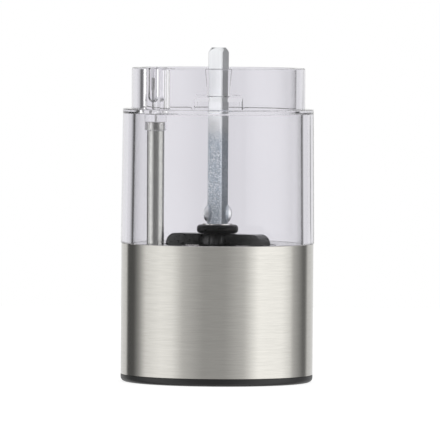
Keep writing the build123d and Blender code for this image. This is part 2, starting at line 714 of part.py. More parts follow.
# Contact plug in the socket boss, with holes for its two pins
with BuildPart() as contact_plug:
    with BuildSketch(polar_plane(TUBE_AZ, TUBE_PITCH_R, SOCKET_Z + PLUG_TIP_GAP)):
        Circle(SOCKET_D / 2 - FIT)
    extrude(amount=SOCKET_DEPTH - PLUG_TIP_GAP + PLUG_PROUD)
    fillet(contact_plug.edges().sort_by(Axis.Z)[0], PLUG_TIP_ROUND)
    with BuildSketch(polar_plane(TUBE_AZ, TUBE_PITCH_R, RIM_Z + FIT)):
        Circle(PLUG_FLANGE_D / 2)
    extrude(amount=PLUG_PROUD - FIT)
    with BuildSketch(polar_plane(TUBE_AZ, TUBE_PITCH_R, SOCKET_Z)):
        with PolarLocations(PIN_OFFSET, PAIR_COUNT, PAIR_TURN):
            Circle(PIN_TAIL_D / 2 + FIT)
    extrude(amount=SOCKET_DEPTH + CUT_OVER, mode=Mode.SUBTRACT)
    with BuildSketch(polar_plane(TUBE_AZ, TUBE_PITCH_R, PIN_LOW_Z - FIT)):
        with PolarLocations(PIN_OFFSET, PAIR_COUNT, PAIR_TURN):
            Circle(PIN_D / 2 + FIT)
    extrude(amount=RIM_Z + CUT_OVER - PIN_LOW_Z, mode=Mode.SUBTRACT)
contact_plug.part.label = "contact_plug"
export_step(contact_plug.part, "parts/contact_plug.step")

# Contact pins sunk in the plug, with thin tails down to the leads
with BuildPart() as contact_pins:
    with BuildSketch(polar_plane(TUBE_AZ, TUBE_PITCH_R, PIN_LOW_Z)):
        with PolarLocations(PIN_OFFSET, PAIR_COUNT, PAIR_TURN):
            Circle(PIN_D / 2)
    extrude(amount=PIN_L)
    with BuildSketch(polar_plane(TUBE_AZ, TUBE_PITCH_R, LEAD_TOP_Z)):
        with PolarLocations(PIN_OFFSET, PAIR_COUNT, PAIR_TURN):
            Circle(PIN_TAIL_D / 2)
    extrude(amount=PIN_LOW_Z + PIN_L - LEAD_TOP_Z)
contact_pins.part.label = "contact_pins"
export_step(contact_pins.part, "parts/contact_pins.step")

# Steel tube round the leads, from the collar down through the funnel's floor
with BuildPart() as lead_tube:
    with BuildSketch(polar_plane(TUBE_AZ, TUBE_PITCH_R, TUBE_LOW_Z)):
        Circle(TUBE_D / 2)
        Circle(TUBE_BORE_D / 2, mode=Mode.SUBTRACT)
    extrude(amount=TUBE_TOP_Z - TUBE_LOW_Z)
    chamfer(lead_tube.edges().filter_by(GeomType.CIRCLE), TUBE_EDGE)
lead_tube.part.label = "lead_tube"
export_step(lead_tube.part, "parts/lead_tube.step")

# Leads down the steel tube
with BuildPart() as lamp_leads:
    with BuildSketch(polar_plane(TUBE_AZ, TUBE_PITCH_R, LEAD_LOW_Z)):
        with PolarLocations(LEAD_OFFSET, PAIR_COUNT, PAIR_TURN):
            Circle(LEAD_D / 2)
    extrude(amount=LEAD_TOP_Z - LEAD_LOW_Z)
lamp_leads.part.label = "lamp_leads"
export_step(lamp_leads.part, "parts/lamp_leads.step")

# Lamp: round-nosed body with a flange on the tower and two legs
with BuildPart() as lamp:
    with BuildSketch(polar_plane(TUBE_AZ, TUBE_PITCH_R, LAMP_TOP_Z - LAMP_H)):
        Circle(LAMP_D / 2)
    extrude(amount=LAMP_H)
    fillet(lamp.edges().sort_by(Axis.Z)[0], LAMP_D / 2 - FIT)
    with BuildSketch(polar_plane(TUBE_AZ, TUBE_PITCH_R, TOWER_TOP_Z)):
        Circle(LAMP_FLANGE_D / 2)
    extrude(amount=LAMP_FLANGE_T)
    with BuildSketch(polar_plane(TUBE_AZ, TUBE_PITCH_R, LAMP_TOP_Z)):
        with PolarLocations(LEAD_OFFSET, PAIR_COUNT, PAIR_TURN):
            Circle(LAMP_LEG_D / 2)
    extrude(amount=LAMP_LEG_L)
lamp.part.label = "lamp"
export_step(lamp.part, "parts/lamp.step")

# Lamp window in the floor of the base
with BuildPart() as lamp_lens:
    with BuildSketch(polar_plane(TUBE_AZ, TUBE_PITCH_R, BASE_RECESS + LENS_INSET)):
        Circle(LENS_D / 2)
    extrude(amount=LENS_T)
    fillet(lamp_lens.edges().sort_by(Axis.Z)[0], LENS_CROWN)
lamp_lens.part.label = "lamp_lens"
export_step(lamp_lens.part, "parts/lamp_lens.step")

# Ears pinched out of the bar: a flattened ball, level where it rests on its washer
with BuildPart() as ears:
    Sphere(EAR_R)
    scale(by=(1, EAR_T / (2 * EAR_R), EAR_ABOVE_H / EAR_R))
    split(bisect_by=Plane.XY.offset(-EAR_WIDEST_H), keep=Keep.TOP)

# Drive shaft: square bar with a turned tip, the two ears and a round stem for the nut
with BuildPart() as drive_shaft:
    with BuildSketch(polar_plane(SHAFT_AZ, 0, STEM_TOP_Z)) as bar_section:
        Rectangle(SHAFT_SIDE, SHAFT_SIDE)
        chamfer(bar_section.vertices(), SHAFT_EDGE)
    extrude(amount=SHAFT_TOP_Z - STEM_TOP_Z)
    # Turned cone that takes the corners off the top end
    with BuildSketch(Plane.XZ):
        with BuildLine():
            Polyline(
                (SHAFT_TIP_D / 2, SHAFT_TOP_Z),
                (SHAFT_SIDE, SHAFT_TOP_Z),
                (SHAFT_SIDE, SHAFT_TOP_Z - SHAFT_TIP_H),
                (SHAFT_SIDE / sqrt(2), SHAFT_TOP_Z - SHAFT_TIP_H),
                close=True,
            )
        make_face()
    revolve(axis=Axis.Z, mode=Mode.SUBTRACT)
    with Locations(polar_plane(SHAFT_AZ + EAR_TURN, 0, EAR_Z + EAR_WIDEST_H)):
        add(ears.part)
    with BuildSketch(Plane.XY.offset(STEM_PROUD)):
        Circle(STEM_D / 2)
    extrude(amount=STEM_L)
    chamfer(drive_shaft.edges().sort_by(Axis.Z)[0], STEM_EDGE)
drive_shaft.part.label = "drive_shaft"
export_step(drive_shaft.part, "parts/drive_shaft.step")

# Washer under the ears
with BuildPart() as ear_washer:
    with BuildSketch(polar_plane(SHAFT_AZ, 0, EAR_WASHER_Z)):
        Circle(EAR_WASHER_D / 2)
        Rectangle(SHAFT_HOLE, SHAFT_HOLE, mode=Mode.SUBTRACT)
    extrude(amount=EAR_WASHER_T)
ear_washer.part.label = "ear_washer"
export_step(ear_washer.part, "parts/ear_washer.step")

# Thrust bush: collar under the ears and a spigot that turns in the hub
with BuildPart() as thrust_bush:
    with BuildSketch(Plane.XY.offset(BUSH_Z)):
        Circle(BUSH_D / 2)
    extrude(amount=BUSH_T)
    fillet(thrust_bush.edges().filter_by(GeomType.CIRCLE), BUSH_EDGE)
    with BuildSketch(Plane.XY.offset(BUSH_Z)):
        Circle(BUSH_SPIGOT_D / 2)
    extrude(amount=-BUSH_SPIGOT_H)
    with BuildSketch(polar_plane(SHAFT_AZ, 0, BUSH_Z - BUSH_SPIGOT_H)):
        Rectangle(SHAFT_HOLE, SHAFT_HOLE)
    extrude(amount=BUSH_SPIGOT_H + BUSH_T, mode=Mode.SUBTRACT)
thrust_bush.part.label = "thrust_bush"
export_step(thrust_bush.part, "parts/thrust_bush.step")

# Washer between the spring and the hub
with BuildPart() as spring_washer:
    with BuildSketch(Plane.XY.offset(SPRING_WASHER_Z)):
        Circle(SPRING_WASHER_D / 2)
        Circle(SPRING_WASHER_HOLE_D / 2, mode=Mode.SUBTRACT)
    extrude(amount=SPRING_WASHER_T)
spring_washer.part.label = "spring_washer"
export_step(spring_washer.part, "parts/spring_washer.step")

# Spring: one wound wire from the seat up to the washer
SPRING_R = (SPRING_D - WIRE_D) / 2
COIL_RISE = SPRING_WASHER_Z - SEAT_TOP_Z - WIRE_D - 2 * FIT
with BuildPart() as grinder_spring:
    with BuildLine() as coil:
        Helix(COIL_RISE / SPRING_COILS, COIL_RISE, SPRING_R, center=(0, 0, SEAT_TOP_Z + WIRE_D / 2 + FIT))
    with BuildSketch(Plane(origin=coil.line @ 0, z_dir=coil.line % 0)):
        Circle(WIRE_D / 2)
    sweep(path=coil.line)
grinder_spring.part.label = "grinder_spring"
export_step(grinder_spring.part, "parts/grinder_spring.step")
SAMPLES = 40
turn_points = [coil.line @ (i / (SAMPLES * SPRING_COILS)) for i in range(SAMPLES * SPRING_COILS + 1)]
coil_gap = min(
    (low - high).length
    for i, low in enumerate(turn_points)
    for high in turn_points[i + SAMPLES // 2:]
) - WIRE_D
print("least gap between spring turns, mm:", round(coil_gap, 2))

# Inner burr: helical feed flutes and fine teeth on a cone, on a hexagonal hole
flute = vee_cutter(
    ROTOR_LAND_Z + FLUTE_RISE,
    ROTOR_TOP_Z + CUT_SPARE,
    lambda z: rotor_radius(z) + CUT_OVER,
    lambda z: rotor_radius(z) - (FLUTE_DEPTH_TOP if z > ROTOR_CONE_TOP_Z else FLUTE_DEPTH_LOW),
    FLUTE_W,
    FLUTE_TWIST,
)
rotor_tooth = vee_cutter(
    ROTOR_Z - CUT_SPARE,
    ROTOR_Z + ROTOR_TOOTH_H,
    lambda z: rotor_radius(z) + CUT_OVER,
    lambda z: rotor_radius(z) - ROTOR_TOOTH_DEPTH,
    ROTOR_TOOTH_W,
    ROTOR_TOOTH_TWIST,
)
with BuildPart() as rotor_burr:
    with BuildSketch(Plane.XZ):
        with BuildLine():
            Polyline(
                (0, ROTOR_Z),
                (ROTOR_R, ROTOR_Z),
                (ROTOR_R, ROTOR_LAND_Z),
                (ROTOR_TOP_R, ROTOR_CONE_TOP_Z),
                (ROTOR_TOP_R, ROTOR_TOP_Z),
                (0, ROTOR_TOP_Z),
                close=True,
            )
        make_face()
    revolve(axis=Axis.Z)
    with PolarLocations(0, FLUTES):
        add(flute, mode=Mode.SUBTRACT)
    with PolarLocations(0, ROTOR_TEETH):
        add(rotor_tooth, mode=Mode.SUBTRACT)
    with BuildSketch(polar_plane(SHAFT_AZ, 0, ROTOR_Z)):
        RegularPolygon(DRIVER_FLATS / 2 + FIT, HEX_SIDES, major_radius=False)
    extrude(amount=ROTOR_TOP_Z - ROTOR_Z, mode=Mode.SUBTRACT)
rotor_burr.part.label = "rotor_burr"
export_step(rotor_burr.part, "parts/rotor_burr.step")

# Rotor driver: hexagonal core with a flange under the burr and a square hole
with BuildPart() as rotor_driver:
    with BuildSketch(Plane.XY.offset(DRIVER_Z)):
        Circle(DRIVER_FLANGE_D / 2)
    extrude(amount=DRIVER_FLANGE_T - FIT)
    with BuildSketch(polar_plane(SHAFT_AZ, 0, DRIVER_Z)):
        RegularPolygon(DRIVER_FLATS / 2, HEX_SIDES, major_radius=False)
    extrude(amount=ROTOR_TOP_Z - DRIVER_Z)
    with BuildSketch(polar_plane(SHAFT_AZ, 0, DRIVER_Z)):
        Rectangle(SHAFT_HOLE, SHAFT_HOLE)
    extrude(amount=ROTOR_TOP_Z - DRIVER_Z, mode=Mode.SUBTRACT)
rotor_driver.part.label = "rotor_driver"
export_step(rotor_driver.part, "parts/rotor_driver.step")

# Spring seat over the inner burr
with BuildPart() as spring_seat:
    with BuildSketch(Plane.XY.offset(SEAT_Z)):
        Circle(SEAT_D / 2)
    extrude(amount=SEAT_T)
    with BuildSketch(Plane.XY.offset(SEAT_TOP_Z)):
        Circle(SEAT_BOSS_D / 2)
    extrude(amount=SEAT_BOSS_H)
    with BuildSketch(polar_plane(SHAFT_AZ, 0, SEAT_Z)):
        Rectangle(SHAFT_HOLE, SHAFT_HOLE)
    extrude(amount=SEAT_T + SEAT_BOSS_H, mode=Mode.SUBTRACT)
spring_seat.part.label = "spring_seat"
export_step(spring_seat.part, "parts/spring_seat.step")

# Adjusting knob: disc, hub and a straight grip, with a pocket for the nut
with BuildPart() as adjusting_knob:
    with BuildSketch(Plane.XY.offset(KNOB_DISC_Z)):
        Circle(KNOB_D / 2)
    extrude(amount=KNOB_DISC_T)
    with BuildSketch(Plane.XY.offset(KNOB_Z)):
        Circle(KNOB_HUB_D / 2)
    extrude(amount=KNOB_GRIP_H)
    with BuildSketch(polar_plane(SHAFT_AZ, 0, KNOB_Z)):
        RectangleRounded(KNOB_D - 2 * FIT, KNOB_GRIP_T, KNOB_GRIP_END)
    extrude(amount=KNOB_GRIP_H)
    with BuildSketch(Plane.XY.offset(KNOB_Z)):
        Circle(STEM_D / 2 + KNOB_HOLE_SPARE)
    extrude(amount=KNOB_TOP_Z - KNOB_Z, mode=Mode.SUBTRACT)
    with BuildSketch(polar_plane(SHAFT_AZ, 0, KNOB_TOP_Z)):
        RegularPolygon(NUT_FLATS / 2 + FIT, HEX_SIDES, major_radius=False)
    extrude(amount=-NUT_T, mode=Mode.SUBTRACT)
adjusting_knob.part.label = "adjusting_knob"
export_step(adjusting_knob.part, "parts/adjusting_knob.step")

# Nut pressed in the knob
with BuildPart() as knob_nut:
    with BuildSketch(polar_plane(SHAFT_AZ, 0, KNOB_TOP_Z)):
        RegularPolygon(NUT_FLATS / 2, HEX_SIDES, major_radius=False)
        Circle(STEM_D / 2 + RUN, mode=Mode.SUBTRACT)
    extrude(amount=-NUT_T)
knob_nut.part.label = "knob_nut"
export_step(knob_nut.part, "parts/knob_nut.step")
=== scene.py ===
"""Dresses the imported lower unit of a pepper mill: finishes, small pieces, studio and camera."""

import logging
import math
from dataclasses import dataclass
from enum import Enum

import bmesh
import bpy
from mathutils import Matrix, Vector


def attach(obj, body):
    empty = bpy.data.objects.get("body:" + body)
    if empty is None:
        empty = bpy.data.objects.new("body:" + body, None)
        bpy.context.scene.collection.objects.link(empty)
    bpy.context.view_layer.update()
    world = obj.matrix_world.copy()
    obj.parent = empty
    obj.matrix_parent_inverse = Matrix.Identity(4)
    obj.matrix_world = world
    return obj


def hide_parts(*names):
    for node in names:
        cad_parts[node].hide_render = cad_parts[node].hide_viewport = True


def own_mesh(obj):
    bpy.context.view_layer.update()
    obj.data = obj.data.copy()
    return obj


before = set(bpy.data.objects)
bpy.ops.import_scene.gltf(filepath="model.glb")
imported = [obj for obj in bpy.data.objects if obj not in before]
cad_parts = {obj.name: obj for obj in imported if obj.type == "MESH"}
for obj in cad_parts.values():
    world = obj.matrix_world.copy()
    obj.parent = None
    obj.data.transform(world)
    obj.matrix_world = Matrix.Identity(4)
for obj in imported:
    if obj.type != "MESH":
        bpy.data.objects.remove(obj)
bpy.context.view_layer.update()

logging.basicConfig(level=logging.INFO, format="%(name)s: %(message)s")
log = logging.getLogger("mill")

Colour = tuple[float, float, float, float]
Triple = tuple[float, float, float]
Span = tuple[float, float]
Stops = tuple[Span, ...]
Node = bpy.types.Node
Socket = bpy.types.NodeSocket
Inputs = dict[str | int, object]

CENTRE = (0, 0, 0)
UP = (0, 0, 1)

# Shares of the noise that count as the low and the high end of an effect
LINE_SPAN: Span = (0.25, 0.75)
CLOUD_SPAN: Span = (0.3, 0.7)
SPECK_SPAN: Span = (0.62, 0.76)

# Scale of an effect's slow part beside its fine part
BAND_SCALE = 0.17
SLOW_SCALE = 0.04

# Distances in metres below which points count as one, or as lying on a face or a cut
MERGE = 1e-6
TOUCH = 1e-7
CUT = 1e-8

# Angle between two faces from which their edge stays sharp
SHARP_ANGLE = math.radians(35.0)

# Places of the colour sockets on a Mix node
MIX_FIRST, MIX_SECOND, MIX_RESULT = 6, 7, 2


def grey(level: float, warm: float = 0.0) -> Colour:
    """A near-neutral colour.

    Args:
        level: linear brightness of the green channel.
        warm: share by which red rises and blue falls.

    Returns:
        The colour with full alpha.
    """
    return (level * (1.0 + warm), level, level * (1.0 - warm), 1.0)


def scaled(colour: Colour, share: float) -> Colour:
    """A colour made darker or paler.

    Args:
        colour: the colour.
        share: what its three channels are multiplied by.

    Returns:
        The new colour with full alpha.
    """
    red, green, blue, _ = colour
    return (red * share, green * share, blue * share, 1.0)


class Board:
    """A node tree with short ways to add nodes and join them."""

    def __init__(self, tree: bpy.types.NodeTree) -> None:
        """Takes the tree to work on."""
        self.tree = tree

    def add(self, kind: str, inputs: Inputs | None = None, **settings: object) -> Node:
        """Adds one node.

        Args:
            kind: the node's type name.
            inputs: values or sockets by input name or number.
            settings: plain properties of the node.

        Returns:
            The new node.
        """
        node = self.tree.nodes.new(kind)
        for key, value in settings.items():
            setattr(node, key, value)
        self.fill(node, inputs or {})
        return node

    def fill(self, node: Node, inputs: Inputs) -> None:
        """Links or sets several inputs of a node.

        Args:
            node: the node.
            inputs: values or sockets by input name or number.
        """
        for key, value in inputs.items():
            self.feed(node.inputs[key], value)

    def feed(self, socket: Socket, value: object) -> None:
        """Links a socket into an input, or sets the input's own value.

        Args:
            socket: the input.
            value: an output socket, or a number, vector or colour.
        """
        if isinstance(value, Socket):
            self.tree.links.new(value, socket)
        else:
            socket.default_value = value

    def math(self, operation: str, first: object, second: object = 0.0, third: object = 0.0,
             clamp: bool = False) -> Socket:
        """One Math node.

        Args:
            operation: the node's operation.
            first: first number or socket.
            second: second number or socket.
            third: third number or socket, for the operations that have one.
            clamp: whether the result stays between 0 and 1.

        Returns:
            The result.
        """
        node = self.add("ShaderNodeMath", {0: first, 1: second, 2: third}, operation=operation,
                        use_clamp=clamp)
        return node.outputs[0]

    def vector(self, operation: str, first: object, second: object) -> Node:
        """One Vector Math node on two vectors."""
        return self.add("ShaderNodeVectorMath", {0: first, 1: second}, operation=operation)

    def spread(self, value: object, low: float, high: float, from_low: float = 0.0,
               from_high: float = 1.0) -> Socket:
        """Maps a value from one range to another, kept inside it.

        Args:
            value: what is mapped.
            low: result at the lower end.
            high: result at the upper end.
            from_low: lower end of the value.
            from_high: upper end of the value.

        Returns:
            The mapped value.
        """
        node = self.add("ShaderNodeMapRange", {"Value": value, "From Min": from_low, "From Max": from_high,
                                               "To Min": low, "To Max": high})
        return node.outputs["Result"]

    def rising(self, value: object, span: Span) -> Socket:
        """Maps a span to 0 at its low end and 1 at its high end."""
        return self.spread(value, 0.0, 1.0, *span)

    def falling(self, value: object, span: Span) -> Socket:
        """Maps a span to 1 at its low end and 0 at its high end."""
        return self.spread(value, 1.0, 0.0, *span)

    def swing(self, value: object, middle: float, share: float) -> Socket:
        """Moves a number by a share below and above its middle."""
        return self.spread(value, middle * (1.0 - share), middle * (1.0 + share))

    def ramp(self, value: object, stops: Stops) -> Socket:
        """A grey ramp.

        Args:
            value: place on the ramp, 0 to 1.
            stops: places and grey levels.

        Returns:
            The ramp's colour.
        """
        node = self.add("ShaderNodeValToRGB", {"Fac": value})
        elements = node.color_ramp.elements
        while len(elements) < len(stops):
            elements.new(0.5)
        for element, (place, level) in zip(elements, stops):
            element.position = place
            element.color = grey(level)
        return node.outputs["Color"]

    def blend(self, share: object, first: object, second: object) -> Socket:
        """Mixes two colours.

        Args:
            share: share of the second colour.
            first: first colour or socket.
            second: second colour or socket.

        Returns:
            The mixed colour.
        """
        node = self.add("ShaderNodeMix", {"Factor": share}, data_type="RGBA")
        self.fill(node, {MIX_FIRST: first, MIX_SECOND: second})
        return node.outputs[MIX_RESULT]

    def noise(self, place: Socket, scale: object, detail: float, roughness: float = 0.5) -> Socket:
        """Soft noise.

        Args:
            place: where it is read.
            scale: its scale, a number or a socket.
            detail: number of finer layers.
            roughness: weight of the finer layers.

        Returns:
            The noise, about 0.2 to 0.8.
        """
        node = self.add("ShaderNodeTexNoise", {"Vector": place, "Scale": scale, "Detail": detail,
                                               "Roughness": roughness})
        return node.outputs["Fac"]

    def height(self, place: Socket) -> Socket:
        """Reads the height of a place."""
        return self.add("ShaderNodeSeparateXYZ", {"Vector": place}).outputs["Z"]

    def axis_reach(self, place: Socket) -> Socket:
        """Measures how far a place is from the upright axis.

        Args:
            place: the place.

        Returns:
            Its distance.
        """
        flat = self.vector("MULTIPLY", place, (1.0, 1.0, 0.0)).outputs[0]
        return self.add("ShaderNodeVectorMath", {0: flat}, operation="LENGTH").outputs["Value"]


class Effect(Enum):
    """Shared surface effects, each one shader node group."""

    LINES = "drawn_lines"
    MOTTLE = "mottle"
    GRAIN = "moulded_grain"
    SPECKS = "plating_specks"

    def tree(self) -> bpy.types.NodeTree:
        """Finds the effect's node group, or builds it at its first use.

        Returns:
            The node group.
        """
        found = bpy.data.node_groups.get(self.value)
        if found:
            return found
        results, draw = {
            Effect.LINES: (("Lines", "Bands"), self._lines),
            Effect.MOTTLE: (("Mask",), self._mottle),
            Effect.GRAIN: (("Height", "Mask"), self._grain),
            Effect.SPECKS: (("Mask", "Tone"), self._specks),
        }[self]
        tree = bpy.data.node_groups.new(self.value, "ShaderNodeTree")
        kind = "NodeSocketVector" if self is Effect.LINES else "NodeSocketFloat"
        tree.interface.new_socket("Scale", in_out="INPUT", socket_type=kind)
        for name in results:
            tree.interface.new_socket(name, in_out="OUTPUT", socket_type="NodeSocketFloat")
        board = Board(tree)
        place = board.add("ShaderNodeTexCoord").outputs["Object"]
        scale = board.add("NodeGroupInput").outputs["Scale"]
        board.add("NodeGroupOutput", draw(board, place, scale))
        return tree

    @staticmethod
    def _lines(board: Board, place: Socket, scale: Socket) -> dict[str, Socket]:
        """Fine lines and broader bands, drawn out by a scale that differs by axis.

        Args:
            board: the group's board.
            place: Object coordinates.
            scale: the group's scale.

        Returns:
            The group's results by name.
        """
        drawn = board.vector("MULTIPLY", place, scale).outputs[0]
        fine = board.noise(drawn, 1.0, detail=3.0, roughness=0.65)
        broad = board.noise(drawn, BAND_SCALE, detail=2.0)
        return {"Lines": board.rising(fine, LINE_SPAN), "Bands": board.rising(broad, CLOUD_SPAN)}

    @staticmethod
    def _mottle(board: Board, place: Socket, scale: Socket) -> dict[str, Socket]:
        """Soft clouds."""
        cloud = board.noise(place, scale, detail=4.0, roughness=0.55)
        return {"Mask": board.rising(cloud, CLOUD_SPAN)}

    @staticmethod
    def _grain(board: Board, place: Socket, scale: Socket) -> dict[str, Socket]:
        """Fine pebbled texture of a moulded surface, with a slow change of its depth.

        Args:
            board: the group's board.
            place: Object coordinates.
            scale: the group's scale.

        Returns:
            The group's results by name.
        """
        cell = board.add("ShaderNodeTexVoronoi", {"Vector": place, "Scale": scale, "Randomness": 1.0},
                         feature="SMOOTH_F1")
        slow = board.noise(place, board.math("MULTIPLY", scale, SLOW_SCALE), detail=2.0)
        return {"Height": board.math("MULTIPLY", cell.outputs["Distance"], slow), "Mask": slow}

    @staticmethod
    def _specks(board: Board, place: Socket, scale: Socket) -> dict[str, Socket]:
        """Small facets of plating, each with its own tone, and bright specks among them.

        Args:
            board: the group's board.
            place: Object coordinates.
            scale: the group's scale.

        Returns:
            The group's results by name.
        """
        facet = board.add("ShaderNodeTexVoronoi", {"Vector": place, "Scale": scale, "Randomness": 1.0})
        tone = board.add("ShaderNodeSeparateColor", {"Color": facet.outputs["Color"]}).outputs["Red"]
        return {"Mask": board.rising(tone, SPECK_SPAN), "Tone": tone}

    def place(self, board: Board, scale: float | Triple) -> Node:
        """Puts the effect in a material.

        Args:
            board: the material's board.
            scale: its scale, a number, or a vector for drawn lines.

        Returns:
            The group node.
        """
        node = board.add("ShaderNodeGroup", node_tree=self.tree())
        node.inputs["Scale"].default_value = scale
        return node


@dataclass(frozen=True)
class Finish:
    """A surface finish: its name, colour and roughness."""

    name: str
    colour: Colour
    roughness: float

    def material(self) -> bpy.types.Material:
        """Finds the finish's material, or builds it at its first use.

        Returns:
            The material.
        """
        title = f"{self.name}_finish"
        found = bpy.data.materials.get(title)
        if found:
            return found
        made = bpy.data.materials.new(title)
        made.use_nodes = True
        made.node_tree.nodes.clear()
        board = Board(made.node_tree)
        shader = board.add("ShaderNodeBsdfPrincipled", {"Base Color": self.colour,
                                                        "Roughness": self.roughness})
        board.add("ShaderNodeOutputMaterial", {"Surface": shader.outputs[0]})
        self.shade(board, shader)
        return made

    def shade(self, board: Board, shader: Node) -> None:
        """Adds the finish's own nodes; each kind of finish has its own.

        Args:
            board: the material's board.
            shader: its Principled node.
        """

    def bump(self, board: Board, shader: Node, height: Socket, depth: float) -> None:
        """Raises the surface by a height.

        Args:
            board: the material's board.
            shader: its Principled node.
            height: height, 0 to 1.
            depth: metres at a height of 1.
        """
        node = board.add("ShaderNodeBump", {"Height": height, "Distance": depth, "Strength": 1.0})
        board.feed(shader.inputs["Normal"], node.outputs["Normal"])


@dataclass(frozen=True)
class ClearPlastic(Finish):
    """Clear moulded plastic with faint flow marks."""

    index: float = 1.49
    gloss: float = 0.35
    flow_scale: float = 45.0
    thick_share: float = 0.985
    polish_swing: float = 0.5

    def shade(self, board: Board, shader: Node) -> None:
        """Makes the shader pass light, with a little change of polish and tint.

        Args:
            board: the material's board.
            shader: its Principled node.
        """
        flow = Effect.MOTTLE.place(board, self.flow_scale).outputs["Mask"]
        board.fill(shader, {
            "Transmission Weight": 1.0,
            "IOR": self.index,
            "Specular Tint": grey(self.gloss),
            "Base Color": board.blend(flow, scaled(self.colour, self.thick_share), self.colour),
            "Roughness": board.swing(flow, self.roughness, self.polish_swing),
        })


@dataclass(frozen=True)
class BrushedSteel(Finish):
    """Steel brushed round the axis."""

    scale: Triple = (170.0, 170.0, 3800.0)
    contrast: float = 0.07
    band_share: float = 0.15
    polish_swing: float = -0.2
    stretch: float = 0.7
    stretch_turn: float = 0.25
    depth: float = 0.0000012

    def shade(self, board: Board, shader: Node) -> None:
        """Draws the brush lines in colour, roughness and level.

        Args:
            board: the material's board.
            shader: its Principled node.
        """
        lines = Effect.LINES.place(board, self.scale).outputs
        fine = board.math("MULTIPLY", lines["Lines"], 1.0 - self.band_share)
        both = board.math("MULTIPLY_ADD", lines["Bands"], self.band_share, fine)
        dark, pale = scaled(self.colour, 1.0 - self.contrast), scaled(self.colour, 1.0 + self.contrast)
        tangent = board.add("ShaderNodeTangent", direction_type="RADIAL", axis="Z")
        board.fill(shader, {
            "Base Color": board.blend(both, dark, pale),
            "Roughness": board.swing(lines["Lines"], self.roughness, self.polish_swing),
            "Metallic": 1.0,
            "Anisotropic": self.stretch,
            "Anisotropic Rotation": self.stretch_turn,
            "Tangent": tangent.outputs[0],
        })
        self.bump(board, shader, both, self.depth)


@dataclass(frozen=True)
class PlatedSteel(Finish):
    """Zinc-plated drawn bar: clean at its upper end, rubbed into bright and dark facets below, painted shade
    on one side.
    """

    facet_scale: float = 5200.0
    line_scale: Triple = (2600.0, 2600.0, 60.0)
    line_share: float = 0.5
    line_tone: Colour = grey(0.80, -0.02)
    worn_span: Span = (0.0708, 0.0758)
    ragged_by: float = 0.003
    bar_span: Span = (0.0029, 0.0034)
    worn: Colour = (0.72, 0.82, 0.925, 1.0)
    worn_dark: float = 0.52
    worn_roughness: float = 0.42
    bright: Colour = (0.95, 0.97, 1.00, 1.0)
    low_span: Span = (0.0500, 0.0560)
    low_share: float = 0.42
    low_tone: Colour = grey(0.30, -0.10)
    # Painted shade: facets that face the way below are blended towards the two dark tones below, more so
    # where the bar is rubbed
    shade_way: Triple = (0.891, -0.454, 0.0)
    shade_span: Span = (0.80, 0.95)
    shade_shares: Span = (0.12, 0.46)
    shade_tones: tuple[Colour, Colour] = (grey(0.16, -0.10), grey(0.29, -0.10))

    def shade(self, board: Board, shader: Node) -> None:
        """Gives each facet its tone and polish, duller where the peppercorns rub the bar, with painted shade
        on the facets that face one way.

        Args:
            board: the material's board.
            shader: its Principled node.
        """
        facets = Effect.SPECKS.place(board, self.facet_scale).outputs
        lines = Effect.LINES.place(board, self.line_scale).outputs["Lines"]
        coordinates = board.add("ShaderNodeTexCoord").outputs
        rise = board.height(coordinates["Object"])
        ragged = board.math("MULTIPLY_ADD", facets["Tone"], self.ragged_by, rise)
        on_bar = board.falling(board.axis_reach(coordinates["Object"]), self.bar_span)
        rubbed = board.math("MULTIPLY", board.falling(ragged, self.worn_span), on_bar)
        clean = board.blend(board.math("MULTIPLY", lines, self.line_share), self.colour, self.line_tone)
        worn = board.blend(facets["Tone"], scaled(self.worn, self.worn_dark), self.worn)
        worn = board.blend(board.math("MULTIPLY", facets["Mask"], rubbed), worn, self.bright)
        worn = board.blend(board.spread(rise, self.low_share, 0.0, *self.low_span), worn, self.low_tone)
        tone = board.blend(rubbed, clean, worn)
        # Painted shade on the facets that face one way, deeper where the bar is rubbed
        turned = board.vector("DOT_PRODUCT", coordinates["Normal"], self.shade_way).outputs["Value"]
        painted_shade = board.math("MULTIPLY", board.rising(turned, self.shade_span),
                            board.spread(rubbed, *self.shade_shares))
        board.fill(shader, {
            "Base Color": board.blend(painted_shade, tone, board.blend(facets["Tone"], *self.shade_tones)),
            "Roughness": board.spread(rubbed, self.roughness, self.worn_roughness),
            "Metallic": 1.0,
        })


@dataclass(frozen=True)
class TurnedMetal(Finish):
    """Bright turned or rolled metal with fine tool lines."""

    line_scale: Triple = (900.0, 900.0, 5200.0)
    dark_share: float = 0.85
    polish_swing: float = 0.3
    depth: float = 0.000003

    def shade(self, board: Board, shader: Node) -> None:
        """Draws the tool lines.

        Args:
            board: the material's board.
            shader: its Principled node.
        """
        lines = Effect.LINES.place(board, self.line_scale).outputs
        board.fill(shader, {
            "Base Color": board.blend(lines["Bands"], scaled(self.colour, self.dark_share), self.colour),
            "Roughness": board.swing(lines["Lines"], self.roughness, self.polish_swing),
            "Metallic": 1.0,
        })
        self.bump(board, shader, lines["Lines"], self.depth)


